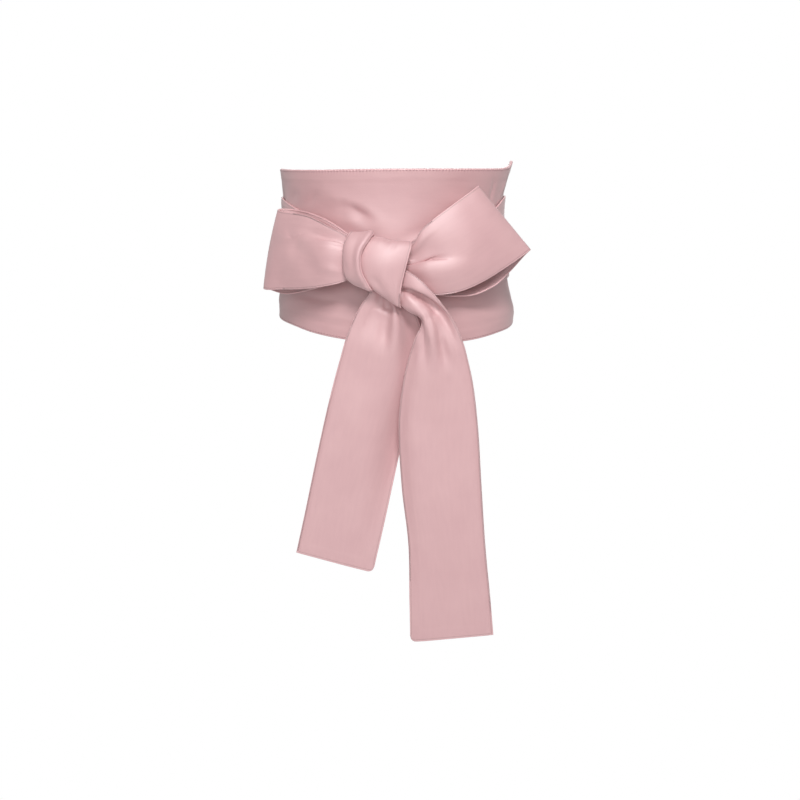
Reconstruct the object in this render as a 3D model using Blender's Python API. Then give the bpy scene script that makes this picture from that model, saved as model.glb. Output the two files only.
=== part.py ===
"""An obi belt as it is worn: a shaped panel round the waist, and two ties that start at the panel's
ends, pass each other behind, come round over the panel and are tied in a bow in front.

Run it with: blender --background --python part.py

The frame is the wearer's: +Z up, the front faces -Y, and the origin is the middle of the waist.
Tables are in millimetres and degrees. Every piece of cloth is a sheet with a Solidify modifier, and
the sheet runs through the rows of a short table, one row for each section of the cloth.
"""

from collections import namedtuple

import bpy
import numpy as np

MM = 0.001

# Driving sizes, in millimetres.
TIE_WALL = 1.6
PANEL_WALL = 2.4
DEPTH_SHARE = 0.79
PANEL_END_ANGLE = 158.0
BODY_ROUNDNESS = 2.15

# The satin's colour and roughness.
PINK = (0.70, 0.43, 0.44)
SATIN_ROUGHNESS = 0.45

Level = namedtuple("Level", "height half_width shift")
PanelEdge = namedtuple("PanelEdge", "angle bottom top")
Wrap = namedtuple("Wrap", "angle low high offset")
Section = namedtuple("Section", "first second bulge")

# A fold runs from one place of a sheet to another. Below 1 its steepness narrows the side towards
# the second edge, and above 1 the side towards the first.
Fold = namedtuple(
    "Fold",
    "along_0 across_0 height_0 spread_0 along_1 across_1 height_1 spread_1 steepness",
    defaults=(1.0,),
)

# The outer face of the panel: half its width, and how far its middle is shifted along X.
BODY = (
    Level(-110, 113.5, 0.3),
    Level(-92, 114.2, 0.4),
    Level(-79, 115.2, 0.7),
    Level(-68, 115.6, 1.3),
    Level(-57, 114.7, -0.3),
    Level(-45, 112.2, -0.6),
    Level(-33, 110.3, -0.8),
    Level(-20, 109.4, -1.1),
    Level(0, 108.4, -1.4),
    Level(25, 106.6, -2.4),
    Level(43, 107.6, -2.2),
    Level(55, 109.6, -1.3),
    Level(69, 112.2, 0.0),
    Level(82, 114.8, 0.9),
)

# The panel's lower and upper edge by the angle round the body, 0 in front and 90 at the right.
PANEL_EDGES = (
    PanelEdge(-158, -37, 39),
    PanelEdge(-140, -52, 50),
    PanelEdge(-115, -66, 62),
    PanelEdge(-90, -74, 69.8),
    PanelEdge(-58, -79.5, 68.6),
    PanelEdge(-40, -85.3, 68.4),
    PanelEdge(-24, -89.4, 68.8),
    PanelEdge(0, -94, 69.4),
    PanelEdge(34, -91.8, 69.6),
    PanelEdge(60, -86, 69.6),
    PanelEdge(80, -82.3, 70.4),
    PanelEdge(91, -79.5, 77.2),
    PanelEdge(97, -77, 75.5),
    PanelEdge(106, -73, 68),
    PanelEdge(120, -66, 62),
    PanelEdge(140, -52, 50),
    PanelEdge(158, -37, 39),
)

# Soft creases of the panel, fanning out from the knot and running under the edges.
PANEL_FOLDS = (
    Fold(0.28, 0.72, 0.0, 0.05, 0.47, 0.60, -1.8, 0.05),
    Fold(0.36, 0.92, 0.0, 0.05, 0.48, 0.70, 1.2, 0.05),
    Fold(0.53, 0.62, -1.6, 0.05, 0.68, 0.82, 0.0, 0.07),
    Fold(0.32, 0.22, 0.0, 0.05, 0.45, 0.30, 1.2, 0.05),
    Fold(0.54, 0.24, 1.0, 0.05, 0.70, 0.10, 0.0, 0.06),
)

# The tie sewn to the right end of the panel, by the angle round the body from that end: it passes
# the other tie low down behind, comes round the left side and runs into the knot.
WRAP_LEFT = (
    Wrap(158.5, -37, 39, -1.2),
    Wrap(163, -37.5, 36, -1.2),
    Wrap(170, -38.5, 12, -1.3),
    Wrap(175.5, -39.5, -1.0, -1.2),
    Wrap(180, -39.5, -1.0, 0.4),
    Wrap(184.5, -39.5, -1.0, 1.6),
    Wrap(190, -39.5, 4, 1.7),
    Wrap(200, -38.5, 19, 1.7),
    Wrap(213, -37, 35, 1.6),
    Wrap(228, -36, 41, 1.5),
    Wrap(270, -34, 42.5, 1.5),
    Wrap(285, -35, 39.5, 1.5),
    Wrap(300, -36.5, 33.5, 1.6),
    Wrap(312, -37, 27, 1.7),
    Wrap(324, -36, 19, 2.6),
    Wrap(332, -34, 12, 4.4),
    Wrap(338, -31, 5, 6.9),
    Wrap(346.7, -26, -5, 10.9),
)

# The tie sewn to the left end, by the angle measured the other way round from the front.
WRAP_RIGHT = (
    Wrap(158.5, -37, 39, -1.2),
    Wrap(163, -34, 39.5, -1.2),
    Wrap(170, -10, 40.5, -1.3),
    Wrap(175.5, 1.0, 41.5, -1.2),
    Wrap(180, 1.0, 41.5, 0.4),
    Wrap(184.5, 1.0, 41.5, 1.6),
    Wrap(190, -3.5, 42, 1.7),
    Wrap(200, -17, 42, 1.7),
    Wrap(213, -31, 42, 1.6),
    Wrap(228, -36, 42, 1.7),
    Wrap(270, -34, 43.5, 1.8),
    Wrap(285, -36, 40, 1.8),
    Wrap(297, -38, 32, 1.8),
    Wrap(312, -40, 23, 1.8),
    Wrap(330, -39, 11, 1.9),
    Wrap(340, -36, 4, 2.3),
    Wrap(347, -33, -1, 3.2),
    Wrap(354, -29, -4, 5.4),
    Wrap(360.7, -26, -5, 7.8),
)

# Gathers where a tie is squeezed to half its width behind, by the share of its length.
WRAP_FOLDS = (
    Fold(0.00, 0.18, 0.0, 0.06, 0.13, 0.18, 1.5, 0.09),
    Fold(0.00, 0.50, 0.0, 0.06, 0.13, 0.50, 1.8, 0.09),
    Fold(0.00, 0.82, 0.0, 0.06, 0.13, 0.82, 1.5, 0.09),
    Fold(0.13, 0.18, 1.5, 0.09, 0.32, 0.14, 0.0, 0.08),
    Fold(0.13, 0.50, 1.8, 0.09, 0.36, 0.52, 0.0, 0.08),
    Fold(0.13, 0.82, 1.5, 0.09, 0.34, 0.88, 0.0, 0.08),
)

# The left loop, out along its front layer, round the fold and back: its upper and lower edge.
LOOP_LEFT = (
    Section((-37.5, -105.5, 2), (-37.5, -104.5, -29), 1.5),
    Section((-46, -108.5, 9.3), (-46, -107.5, -33.5), 2.5),
    Section((-60, -105.0, 15.4), (-61, -106.0, -37.5), 5.0),
    Section((-79, -92.0, 23.4), (-86, -93.0, -41.5), 6.0),
    Section((-97, -77.0, 27.0), (-108, -78.0, -43.0), 4.5),
    Section((-106.5, -68.5, 30.0), (-121, -69.0, -44.0), 2.5),
    Section((-109.5, -64.0, 31.4), (-124.1, -64.0, -43.6), 1.8),
    Section((-106.5, -60.0, 32.2), (-121, -60.0, -44.2), 2.0),
    Section((-93, -62.5, 31.6), (-104, -63.0, -48.5), 2.0),
    Section((-78, -75.0, 29.2), (-84, -75.0, -46.5), 2.0),
    Section((-60, -88.0, 21.6), (-61, -88.0, -40.0), 1.5),
    Section((-37.5, -99.0, 6.0), (-37.5, -99.0, -30.0), 0.5),
)
LOOP_LEFT_FOLDS = (
    Fold(0.00, 0.30, -2.6, 0.10, 0.22, 0.26, 0.0, 0.14),
    Fold(0.00, 0.36, 2.6, 0.16, 0.24, 0.40, 0.0, 0.18, 5.0),
    Fold(0.00, 0.80, -2.0, 0.12, 0.22, 0.80, 0.0, 0.14),
)

# The right loop, the same way: its lower and upper edge.
LOOP_RIGHT = (
    Section((3, -101.5, -31.0), (3, -103.5, -3.0), 1.0),
    Section((15, -103.5, -38.5), (15, -107.5, 0.5), 2.5),
    Section((38, -106.5, -46.0), (24, -109.5, 14.0), 5.0),
    Section((60, -104.5, -42.6), (36, -108.5, 24.5), 7.0),
    Section((81, -98.0, -34.2), (49, -105.0, 34.2), 7.0),
    Section((104, -88.0, -21.0), (62.5, -98.0, 43.8), 5.0),
    Section((121, -78.5, -10.2), (72.8, -91.5, 51.0), 2.0),
    Section((126.6, -74.0, -6.6), (76, -87.0, 53.3), 0.0),
    Section((122, -70.0, -11.5), (72.8, -82.5, 50.5), 2.0),
    Section((108, -74.5, -26.5), (62, -84.0, 41.0), 3.0),
    Section((92, -82.0, -40.0), (50, -90.0, 31.0), 3.0),
    Section((66, -92.0, -48.4), (36, -96.0, 22.0), 2.0),
    Section((40, -97.0, -47.0), (22, -98.5, 10.0), 1.0),
    Section((3, -98.2, -31.0), (3, -98.4, -3.0), 0.5),
)
LOOP_RIGHT_FOLDS = (
    Fold(0.00, 0.72, -3.0, 0.12, 0.24, 0.66, 0.0, 0.16),
    Fold(0.00, 0.58, 2.8, 0.24, 0.22, 0.56, 0.0, 0.20, 6.0),
    Fold(0.00, 0.26, -2.0, 0.12, 0.22, 0.34, 0.0, 0.16),
)

# The left tail, down from the knot: its left and right edge.
TAIL_LEFT = (
    Section((-21, -105.0, -37), (2, -105.0, -37), 0.0),
    Section((-25.3, -106.0, -46.0), (9, -105.5, -50.0), 1.0),
    Section((-31.2, -106.0, -54.0), (17, -105.0, -60.0), 2.0),
    Section((-39.0, -105.0, -69.0), (24, -104.0, -74.0), 2.5),
    Section((-45.4, -103.5, -85.0), (26, -103.0, -92.0), 2.5),
    Section((-50.9, -102.0, -104.0), (24, -101.5, -114.0), 2.0),
    Section((-57.3, -101.0, -127.0), (19, -100.5, -141.0), 1.5),
    Section((-64.5, -100.5, -156.0), (11, -100.0, -171.5), 1.0),
    Section((-74.7, -100.0, -201.5), (0.2, -99.5, -218.5), 1.0),
    Section((-86.3, -99.5, -256.0), (-12.2, -99.0, -272.5), 0.5),
    Section((-94, -99.5, -290.5), (-21.2, -99.0, -310.8), 0.0),
)
TAIL_LEFT_FOLDS = (
    Fold(0.00, 0.36, -2.2, 0.08, 0.26, 0.22, 0.0, 0.08),
    Fold(0.00, 0.44, 1.6, 0.07, 0.24, 0.38, 0.0, 0.09),
    Fold(0.00, 0.52, -2.6, 0.07, 0.34, 0.50, 0.0, 0.09),
    Fold(0.00, 0.66, 3.4, 0.08, 0.40, 0.64, 0.0, 0.10),
    Fold(0.00, 0.82, -3.0, 0.08, 0.46, 0.84, 0.0, 0.12),
)

# The right tail, out of the knot to the right and down: its left and right edge.
TAIL_RIGHT = (
    Section((3, -109.0, -50.0), (4, -111.5, -22.0), 0.0),
    Section((7, -111.5, -55.5), (12, -114.5, -23.5), 1.0),
    Section((13, -113.5, -60.5), (23.5, -117.0, -30.1), 2.0),
    Section((20, -114.5, -63.5), (34.8, -118.0, -41.3), 2.5),
    Section((23.8, -114.5, -67.5), (45.3, -118.0, -55.4), 3.0),
    Section((22.5, -113.5, -75.0), (54.2, -116.5, -68.6), 3.5),
    Section((18, -112.0, -85.0), (62.2, -114.5, -87.1), 4.0),
    Section((12, -110.5, -101.7), (67.5, -112.0, -106.0), 4.0),
    Section((6, -109.0, -130.0), (72.5, -110.0, -129.0), 3.0),
    Section((2.5, -108.0, -168.7), (77.3, -108.5, -168.7), 2.0),
    Section((5.5, -107.5, -225.0), (81, -107.5, -224.0), 1.5),
    Section((12.2, -107.0, -284.0), (85.3, -107.0, -284.0), 1.0),
    Section((13.2, -107.0, -335.0), (90.2, -107.0, -333.0), 0.5),
    Section((14.2, -107.0, -376.4), (93.4, -107.0, -369.0), 0.0),
)
TAIL_RIGHT_FOLDS = (
    Fold(0.00, 0.34, -3.0, 0.10, 0.13, 0.78, -2.4, 0.16),
    Fold(0.13, 0.78, -2.4, 0.16, 0.32, 0.80, 0.0, 0.14),
    Fold(0.00, 0.42, 2.4, 0.60, 0.14, 1.00, 0.8, 0.30, 10.0),
    Fold(0.00, 0.12, 1.5, 0.12, 0.15, 0.16, 2.5, 0.12),
    Fold(0.15, 0.16, 2.5, 0.12, 0.36, 0.26, 0.0, 0.12),
    Fold(0.06, 0.30, 0.0, 0.09, 0.16, 0.38, 2.6, 0.08),
    Fold(0.16, 0.38, 2.6, 0.08, 0.34, 0.46, 0.0, 0.10),
    Fold(0.10, 0.58, 0.0, 0.10, 0.20, 0.56, -2.0, 0.10),
    Fold(0.20, 0.56, -2.0, 0.10, 0.42, 0.62, 0.0, 0.12),
)

# The band over the knot, from behind its top, down the front and under: its left and right edge.
KNOT_BAND = (
    Section((-21, -103.5, 7.0), (12, -103.5, 3.4), 0.5),
    Section((-22, -111.0, 9.0), (14.6, -110.8, 3.4), 1.5),
    Section((-25, -117.0, 5.0), (15, -117.0, 1.2), 3.0),
    Section((-29.5, -121.0, -4.0), (12.8, -121.5, -9.0), 4.5),
    Section((-31.5, -122.0, -14.5), (9.8, -123.0, -20.2), 5.0),
    Section((-29.5, -121.0, -26.0), (6.7, -123.0, -33.5), 4.0),
    Section((-21.5, -118.0, -37.0), (4.8, -121.0, -50.0), 2.0),
    Section((-18, -114.5, -39.5), (5.0, -117.0, -57.0), 0.5),
    Section((-17, -110.5, -37.5), (3.7, -111.5, -54.0), 0.0),
)

# The turn of cloth left of that band, with a rolled rim along its right edge.
KNOT_COLLAR = (
    Section((-40, -101.0, 7.0), (-23, -104.0, 8.5), 0.5),
    Section((-41.5, -109.5, 11.5), (-23.5, -113.5, 12.8), 1.5),
    Section((-45.0, -113.7, 6.0), (-27.5, -121.0, 8.5), 2.0),
    Section((-47.8, -114.6, -1.0), (-31.0, -125.5, 2.0), 2.0),
    Section((-48.4, -114.9, -10.0), (-33.8, -127.0, -8.0), 2.0),
    Section((-47.6, -114.2, -23.0), (-32.6, -126.5, -21.5), 2.0),
    Section((-44.5, -112.8, -31.0), (-27.5, -123.5, -31.5), 1.5),
    Section((-37.0, -110.8, -35.5), (-22.5, -118.5, -38.0), 0.5),
    Section((-34.0, -108.0, -34.5), (-21.0, -112.5, -38.6), 0.0),
)
RIM_ROLL = Fold(0.00, 0.88, 1.2, 0.10, 1.00, 0.88, 1.2, 0.10)

# The hidden layers inside the knot, as one rounded solid.
KNOT_CORE_CENTRE = (-16.8, -107.1, -16.5)
KNOT_CORE_HALF = (18.4, 14.6, 18.5)
KNOT_CORE_SQUARENESS = 3.0


def between(table, positions):
    """Each column of a table at the given values of its first column, along monotone cubics."""
    data = np.array(table, float)
    knots, values = data[:, 0], data[:, 1:]
    steps = np.diff(knots)[:, None]
    slopes = np.diff(values, axis=0) / steps
    tangents = np.vstack([slopes[:1], (slopes[:-1] + slopes[1:]) / 2, slopes[-1:]])
    turning = slopes[:-1] * slopes[1:] <= 0
    tangents[1:-1][turning] = 0.0
    limit = 3 * np.minimum(np.abs(slopes[:-1]), np.abs(slopes[1:]))
    tangents[1:-1] = np.clip(tangents[1:-1], -limit, limit)
    cell = np.clip(np.searchsorted(knots, positions) - 1, 0, len(knots) - 2)
    share = ((positions - knots[cell]) / steps[cell, 0])[:, None]
    square, cube = share**2, share**3
    return (
        (2 * cube - 3 * square + 1) * values[cell]
        + (cube - 2 * square + share) * steps[cell] * tangents[cell]
        + (3 * square - 2 * cube) * values[cell + 1]
        + (cube - square) * steps[cell] * tangents[cell + 1]
    )


def smoothstep(share):
    share = np.clip(share, 0.0, 1.0)
    return share * share * (3 - 2 * share)


def fold_height(folds, along, across):
    """How far the folds lift the cloth at each place of a sheet, each a ridge or trough that
    changes its height and width from one end to the other."""
    height = np.zeros(np.broadcast(along, across).shape)
    for fold in folds:
        length = fold.along_1 - fold.along_0
        share = np.clip((along - fold.along_0) / length, 0.0, 1.0)
        middle = fold.across_0 + (fold.across_1 - fold.across_0) * share
        spread = fold.spread_0 + (fold.spread_1 - fold.spread_0) * share
        rise = fold.height_0 + (fold.height_1 - fold.height_0) * smoothstep(share)
        inside = (along >= fold.along_0) & (along < fold.along_1)
        first_side = spread * min(1.0, 1.0 / fold.steepness)
        second_side = spread * min(1.0, fold.steepness)
        side = np.where(across < middle, first_side, second_side)
        ridge = rise * np.exp(-(((across - middle) / side) ** 2))
        height += np.where(inside, ridge, 0.0)
    return height


def normals_of(grid):
    """The unit normal at each point of a grid of points."""
    down = np.gradient(grid, axis=0)
    side = np.gradient(grid, axis=1)
    normal = np.cross(down, side)
    return normal / np.linalg.norm(normal, axis=2, keepdims=True)


def ribbon(sections, folds, rows, columns):
    """A sheet through the sections, as a grid of points: rows along it and columns across."""
    flat = np.array([(*s.first, *s.second, s.bulge) for s in sections])
    middle = (flat[:, 0:3] + flat[:, 3:6]) / 2
    steps = np.linalg.norm(np.diff(middle, axis=0), axis=1)
    along = np.concatenate([[0.0], np.cumsum(steps)]) / steps.sum()
    rows_at = np.linspace(0.0, 1.0, rows + 1)
    sampled = between(np.column_stack([along, flat]), rows_at)
    across = np.linspace(0.0, 1.0, columns + 1)
    first, second = sampled[:, None, 0:3], sampled[:, None, 3:6]
    grid = first + (second - first) * across[None, :, None]
    bulge = sampled[:, 6:7] * 4 * across * (1 - across)
    lift = bulge + fold_height(folds, rows_at[:, None], across[None, :])
    return grid + normals_of(grid) * lift[:, :, None]


def body_point(angle, height, offset):
    """The point that far outside the panel's outer face, at an angle round the body and a height."""
    flat = np.ravel(np.broadcast_to(height, np.broadcast(angle, height).shape))
    half_width, shift = between(BODY, flat).T
    turn = np.radians(np.ravel(np.broadcast_to(angle, np.broadcast(angle, height).shape)))
    out = np.ravel(np.broadcast_to(offset, np.broadcast(angle, height).shape))
    power = 2 / BODY_ROUNDNESS
    side = np.sign(np.sin(turn)) * np.abs(np.sin(turn)) ** power
    ahead = np.sign(np.cos(turn)) * np.abs(np.cos(turn)) ** power
    x = (half_width + out) * side + shift
    y = -(half_width * DEPTH_SHARE + out) * ahead
    return np.stack([x, y, flat], axis=1)


def panel_grid(rows, columns):
    """The middle of the panel's wall, from its lower to its upper edge."""
    angles = np.linspace(-PANEL_END_ANGLE, PANEL_END_ANGLE, columns + 1)
    bottom, top = between(PANEL_EDGES, angles).T
    share = np.linspace(0.0, 1.0, rows + 1)[:, None]
    height = bottom + (top - bottom) * share
    around = np.linspace(0.0, 1.0, columns + 1)[None, :]
    offset = fold_height(PANEL_FOLDS, around, share) - PANEL_WALL / 2
    points = body_point(angles[None, :], height, offset)
    return points.reshape(rows + 1, columns + 1, 3)


def wrap_grid(table, mirrored, rows, columns):
    """The middle of a tie's wall on its way round the body."""
    angles = np.linspace(table[0].angle, table[-1].angle, rows + 1)
    low, high, offset = between(table, angles).T
    across = np.linspace(0.0, 1.0, columns + 1)[None, :]
    height = low[:, None] + (high - low)[:, None] * across
    along = np.linspace(0.0, 1.0, rows + 1)[:, None]
    lift = fold_height(WRAP_FOLDS, along, across)
    side = -1.0 if mirrored else 1.0
    points = body_point(side * angles[:, None], height, offset[:, None] + lift)
    return points.reshape(rows + 1, columns + 1, 3)


def sheet_object(name, grid, wall, colour, roughness):
    """The mesh object of a grid of points, with its wall as a Solidify modifier."""
    rows, columns = grid.shape[0], grid.shape[1]
    quads = [
        (r * columns + c, (r + 1) * columns + c, (r + 1) * columns + c + 1, r * columns + c + 1)
        for r in range(rows - 1)
        for c in range(columns - 1)
    ]
    mesh = bpy.data.meshes.new(name)
    mesh.from_pydata((grid.reshape(-1, 3) * MM).tolist(), [], quads)
    mesh.shade_smooth()
    cloth = bpy.data.objects.new(name, mesh)
    bpy.context.scene.collection.objects.link(cloth)
    solidify = cloth.modifiers.new("Wall", "SOLIDIFY")
    solidify.thickness = wall * MM
    solidify.offset = 0.0
    mesh.materials.append(satin(name, colour, roughness))
    return cloth


def satin(name, colour, roughness):
    """A plain satin finish in one colour."""
    material = bpy.data.materials.new(name)
    material.use_nodes = True
    shader = material.node_tree.nodes["Principled BSDF"]
    shader.inputs["Base Color"].default_value = (*colour, 1.0)
    shader.inputs["Roughness"].default_value = roughness
    shader.inputs["Metallic"].default_value = 0.0
    return material


def knot_core(name, colour, roughness):
    """The rounded solid inside the knot: a sphere pressed out to a rounded block."""
    bpy.ops.mesh.primitive_uv_sphere_add(segments=20, ring_count=12, radius=1.0)
    core = bpy.context.object
    core.name = core.data.name = name
    half = np.array(KNOT_CORE_HALF)
    for vertex in core.data.vertices:
        direction = np.array(vertex.co)
        size = (np.abs(direction) ** KNOT_CORE_SQUARENESS).sum() ** (1 / KNOT_CORE_SQUARENESS)
        place = np.array(KNOT_CORE_CENTRE) + direction / size * half
        vertex.co = place * MM
    core.data.shade_smooth()
    core.data.materials.append(satin(name, colour, roughness))
    return core


def clear_scene():
    for old in list(bpy.data.objects):
        bpy.data.objects.remove(old)


def build():
    clear_scene()
    grids = {
        "panel": panel_grid(rows=10, columns=56),
        "wrap_left": wrap_grid(WRAP_LEFT, mirrored=False, rows=48, columns=7),
        "wrap_right": wrap_grid(WRAP_RIGHT, mirrored=True, rows=48, columns=7),
        "loop_left": ribbon(LOOP_LEFT, LOOP_LEFT_FOLDS, rows=34, columns=13),
        "loop_right": ribbon(LOOP_RIGHT, LOOP_RIGHT_FOLDS, rows=36, columns=13),
        "tail_left": ribbon(TAIL_LEFT, TAIL_LEFT_FOLDS, rows=28, columns=18),
        "tail_right": ribbon(TAIL_RIGHT, TAIL_RIGHT_FOLDS, rows=34, columns=18),
        "knot_band": ribbon(KNOT_BAND, folds=(), rows=18, columns=9),
        "knot_collar": ribbon(KNOT_COLLAR, folds=(RIM_ROLL,), rows=18, columns=8),
    }
    for name, grid in grids.items():
        wall = PANEL_WALL if name == "panel" else TIE_WALL
        sheet_object(name, grid, wall, PINK, SATIN_ROUGHNESS)
    knot_core("knot_core", PINK, SATIN_ROUGHNESS)


build()
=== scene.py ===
"""The looks of an obi belt in pink satin: a shaped panel round the waist, two ties that pass each
other behind and come round over it, and a bow with two hanging tails in front.

Each stretch of cloth is a thin shell on the form of its solid, with the creases of the worn belt.
Tables are in millimetres, degrees and shares of a sheet's length and width. Meshes are in metres.
"""

from collections import namedtuple
from math import radians

import bpy
import numpy as np
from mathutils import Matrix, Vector


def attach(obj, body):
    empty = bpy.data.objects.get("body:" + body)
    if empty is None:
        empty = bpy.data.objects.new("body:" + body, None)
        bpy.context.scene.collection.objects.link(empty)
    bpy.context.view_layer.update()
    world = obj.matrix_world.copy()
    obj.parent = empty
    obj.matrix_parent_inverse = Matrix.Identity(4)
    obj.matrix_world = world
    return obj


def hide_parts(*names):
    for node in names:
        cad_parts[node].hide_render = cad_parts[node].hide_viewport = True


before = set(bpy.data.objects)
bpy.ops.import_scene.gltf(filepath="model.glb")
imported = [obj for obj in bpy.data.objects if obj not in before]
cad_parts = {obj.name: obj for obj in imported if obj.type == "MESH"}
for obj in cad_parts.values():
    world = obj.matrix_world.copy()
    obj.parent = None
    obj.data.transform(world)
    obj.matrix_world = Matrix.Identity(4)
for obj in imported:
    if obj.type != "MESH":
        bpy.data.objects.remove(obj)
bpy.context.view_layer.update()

bl_info = {
    "name": "Obi belt in satin",
    "version": (1, 0, 0),
    "blender": (4, 5, 0),
    "location": "View3D > Sidebar > Obi belt",
    "description": "Dresses the obi belt's frame in satin, with its creases, topstitching and studio",
    "category": "Object",
}

MM = 0.001
ROOT = "root"

# The form of the cloth, as in the part's source.
DEPTH_SHARE = 0.79
BODY_ROUNDNESS = 2.15

# A broad fold runs between two places of a sheet, with its height and spread at each. Steepness says
# how many times steeper its first side is.
Fold = namedtuple(
    "Fold",
    "along_0 across_0 height_0 spread_0 along_1 across_1 height_1 spread_1 steepness",
    defaults=(1.0,),
)

# A crease runs through three places of a sheet, with its height at each. Its sides say how far it
# reaches towards the first and second edge, in millimetres, and crispness 1 is a sharp fold.
Crease = namedtuple(
    "Crease",
    "along_0 across_0 along_1 across_1 along_2 across_2 "
    "height_0 height_1 height_2 first_side second_side crispness lean",
    defaults=(0.0, 0.0),
)

# The outer face of the panel at each height: half its width, and its middle's shift along X.
BODY = (
    (-110, 113.5, 0.3),
    (-92, 114.2, 0.4),
    (-79, 115.2, 0.7),
    (-68, 115.6, 1.3),
    (-57, 114.7, -0.3),
    (-45, 112.2, -0.6),
    (-33, 110.3, -0.8),
    (-20, 109.4, -1.1),
    (0, 108.4, -1.4),
    (25, 106.6, -2.4),
    (43, 107.6, -2.2),
    (55, 109.6, -1.3),
    (69, 112.2, 0),
    (82, 114.8, 0.9),
)

# At each angle round the body, 0 in front and 90 at the right: the panel's lower and upper edge.
PANEL_EDGES = (
    (-158, -37, 39),
    (-140, -52, 50),
    (-115, -66, 62),
    (-90, -74, 69.8),
    (-58, -79.5, 68.6),
    (-40, -85.3, 68.4),
    (-24, -89.4, 68.8),
    (0, -94, 69.4),
    (34, -91.8, 69.6),
    (60, -86, 69.8),
    (73, -83.8, 71.3),
    (82, -81.9, 73.8),
    (88, -80.4, 77.5),
    (93, -78.6, 73.4),
    (102, -74.8, 66.8),
    (120, -66, 60.5),
    (140, -52, 50),
    (158, -37, 39),
)
PANEL_FOLDS = (
    (0.28, 0.72, 0, 0.05, 0.44, 0.62, -1.8, 0.05),
    (0.44, 0.62, -1.8, 0.05, 0.51, 0.57, 0, 0.05),
    (0.36, 0.92, 0, 0.05, 0.45, 0.76, 1.2, 0.05),
    (0.45, 0.76, 1.2, 0.05, 0.52, 0.64, 0, 0.05),
    (0.47, 0.55, 0, 0.05, 0.55, 0.65, -1.6, 0.05),
    (0.55, 0.65, -1.6, 0.05, 0.68, 0.82, 0, 0.07),
    (0.32, 0.22, 0, 0.05, 0.41, 0.28, 1.2, 0.05),
    (0.41, 0.28, 1.2, 0.05, 0.5, 0.33, 0, 0.05),
    (0.48, 0.3, 0, 0.05, 0.57, 0.22, 1, 0.05),
    (0.57, 0.22, 1, 0.05, 0.7, 0.1, 0, 0.06),
)
PANEL_CREASES = (
    (0.412, 0.79, 0.44, 0.75, 0.474, 0.68, -1.2, -3, 0, 8, 4.5),
    (0.405, 0.72, 0.43, 0.69, 0.46, 0.65, 0, 0.4, 0, 5, 6),
    (0.317, 0.9, 0.298, 0.83, 0.276, 0.79, 0, -0.7, 0, 5, 5),
    (0.362, 0.89, 0.346, 0.82, 0.324, 0.75, -0.3, -0.9, 0, 4, 4),
    (0.69, 0.95, 0.697, 0.86, 0.69, 0.77, -0.3, -1.3, -0.6, 3, 3.5),
    (0.745, 0.95, 0.74, 0.87, 0.728, 0.78, 0.3, 1.2, 0, 3.5, 3),
    (0.26, 0.18, 0.35, 0.215, 0.44, 0.21, 0, -1.6, -0.8, 4, 5),
    (0.3, 0.11, 0.37, 0.13, 0.44, 0.12, 0, 1, 0.4, 5, 4),
    (0.6, 0.25, 0.68, 0.17, 0.78, 0.13, -0.8, -1.5, 0, 6, 7),
    (0.56, 0.86, 0.62, 0.8, 0.67, 0.7, 0, 1.1, 0.5, 7, 7),
    (0.22, 0.95, 0.245, 0.8, 0.24, 0.7, -0.3, -1, 0, 5, 5),
    (0.01, 0.3, 0.06, 0.34, 0.14, 0.31, -1.4, -1.5, 0, 5, 4),
    (0.01, 0.68, 0.07, 0.64, 0.15, 0.69, -1, -1.2, 0, 4, 5),
    (0.99, 0.27, 0.93, 0.33, 0.85, 0.3, -1.3, -1.4, 0, 5, 5),
    (0.99, 0.74, 0.92, 0.69, 0.84, 0.72, -1.1, -1, 0, 4, 4),
)

# The tie sewn to the right end of the panel, at each angle round the body from that end: its lower
# and upper edge, and how far it stands off the panel's outer face.
WRAP_LEFT = (
    (158.5, -37, 39, -1.2),
    (163, -37.5, 36, -1.2),
    (170, -38.5, 12, -1.3),
    (175.5, -39.5, -1, -1.2),
    (180, -39.5, -1, 0.4),
    (184.5, -39.5, -1, 1.6),
    (190, -39.5, 4, 1.7),
    (200, -38.5, 19, 1.7),
    (213, -37, 35, 1.6),
    (228, -36, 41, 1.5),
    (270, -34, 42.5, 1.5),
    (285, -35, 39.5, 1.5),
    (300, -36.5, 33.5, 1.6),
    (312, -37, 27, 1.7),
    (324, -36, 19, 2.6),
    (332, -34, 12, 4.4),
    (338, -31, 5, 6.9),
    (346.7, -26, -5, 10.9),
)
WRAP_LEFT_CREASES = (
    (0.02, 0.965, 0.5, 0.965, 1, 0.965, -0.6, -0.6, -0.6, 0.5, 9),
    (0.4, 0.7, 0.6, 0.66, 0.78, 0.6, 0, 0.9, 0, 4, 6),
    (0.52, 0.36, 0.68, 0.4, 0.86, 0.44, 0, 1, 0.2, 5, 5),
    (0.16, 0.3, 0.24, 0.42, 0.36, 0.4, -1, -1, 0, 4, 4),
)

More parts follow.
